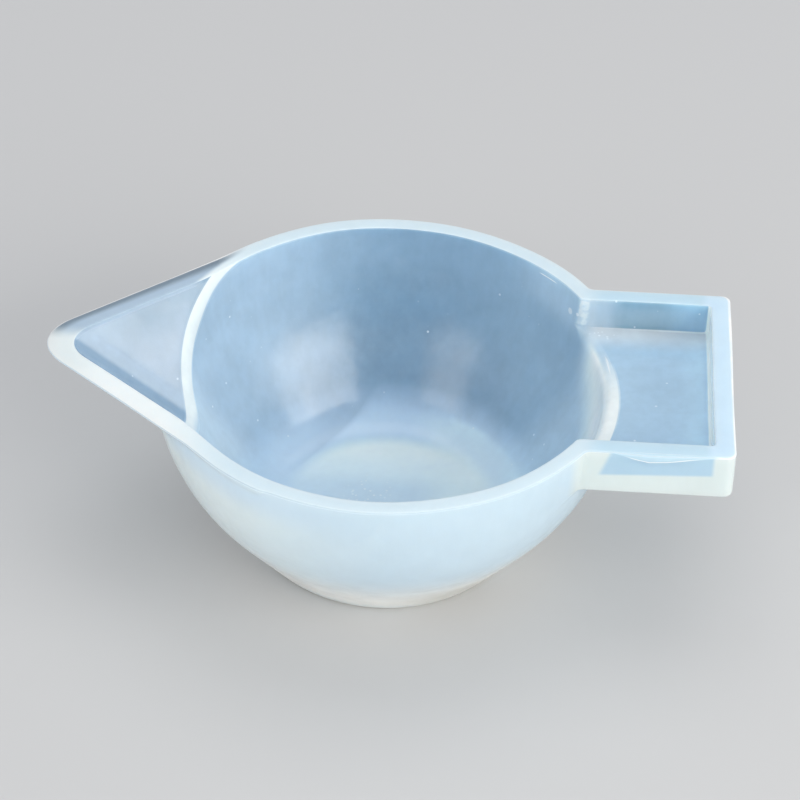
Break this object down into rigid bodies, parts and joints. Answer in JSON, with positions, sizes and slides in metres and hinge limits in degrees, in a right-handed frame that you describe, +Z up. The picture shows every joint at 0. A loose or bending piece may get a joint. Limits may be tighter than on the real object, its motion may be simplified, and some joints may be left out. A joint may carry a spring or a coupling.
{
  "type": "hair color bowl",
  "caption": "Small one-piece silicone bowl for mixing hair color, with a V-shaped pouring spout on one side and a shallow open tray as a handle on the other.",
  "frame": {"origin": "centre of the flat base, on the bowl's axis", "axes": "+Z up the bowl's axis to the rim, +X from the axis along the handle tray, so that the spout points along -X, and the XZ plane is the plane of symmetry"},
  "size_m": [0.0794, 0.055, 0.025],
  "materials": {
    "silicone": "translucent milky silicone, satin, whiter where the wall is thick"
  },
  "bodies": {
    "root": {"bowl": "silicone"}
  },
  "joints": []
}
